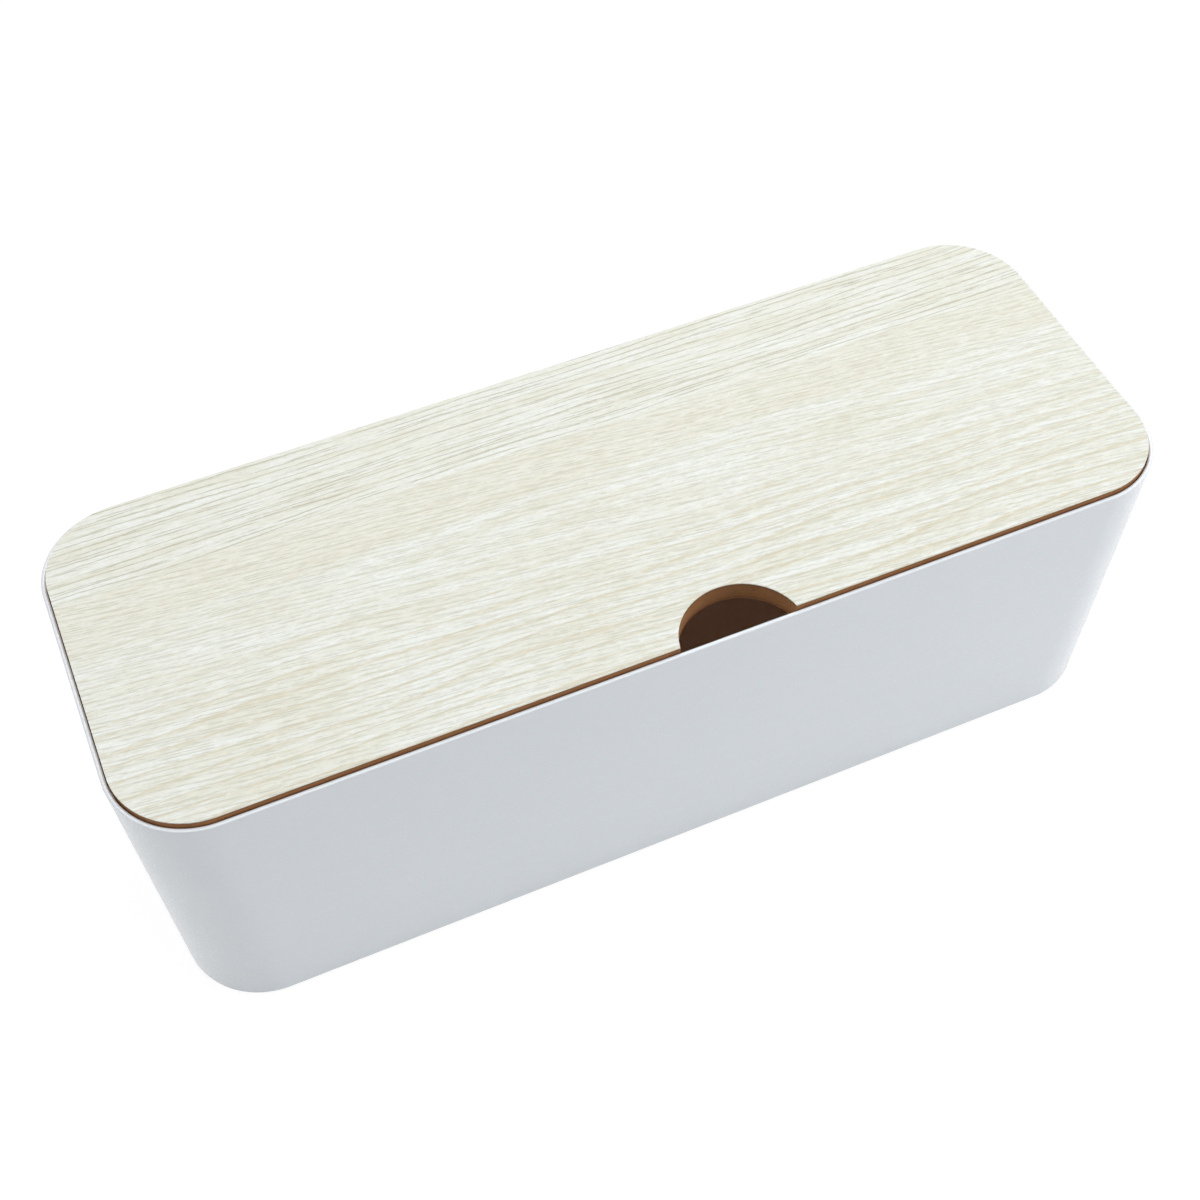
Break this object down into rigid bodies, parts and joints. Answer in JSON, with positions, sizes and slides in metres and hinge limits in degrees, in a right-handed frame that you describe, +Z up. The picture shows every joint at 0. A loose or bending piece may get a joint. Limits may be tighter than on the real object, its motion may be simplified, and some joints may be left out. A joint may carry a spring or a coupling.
{
  "type": "cable management box",
  "caption": "Long open-topped moulded tray with rounded corners, cable ports in its ends and four feet, closed by a lift-off wood-faced lid with a half-round notch in its front edge.",
  "frame": {"origin": "middle of the footprint, on the surface that the four feet stand on", "axes": "+X along the box's length to the right as seen from the notch side, -Y out of the long side that has the lid's notch, +Z up"},
  "size_m": [0.4, 0.147, 0.135],
  "materials": {
    "tray_plastic": "white injection-moulded plastic, fine satin surface",
    "fibreboard": "raw cut edge of medium-density fibreboard",
    "wood_grain_sheet": "pale ash wood-grain laminate, satin with open pores",
    "backing_sheet": "plain brown balancing paper, matt",
    "foot_rubber": "matt grey anti-slip rubber"
  },
  "bodies": {
    "tray": {"tray": "tray_plastic", "foot_front_left": "foot_rubber", "foot_front_right": "foot_rubber", "foot_back_left": "foot_rubber", "foot_back_right": "foot_rubber"},
    "lid": {"lid_board": "fibreboard", "lid_top_sheet": "wood_grain_sheet", "lid_backing_sheet": "backing_sheet"}
  },
  "joints": [
    {"name": "lid_lift", "type": "slide", "parent": "tray", "child": "lid", "axis": [0, 0, 1], "range_m": [0, 0.15]}
  ]
}
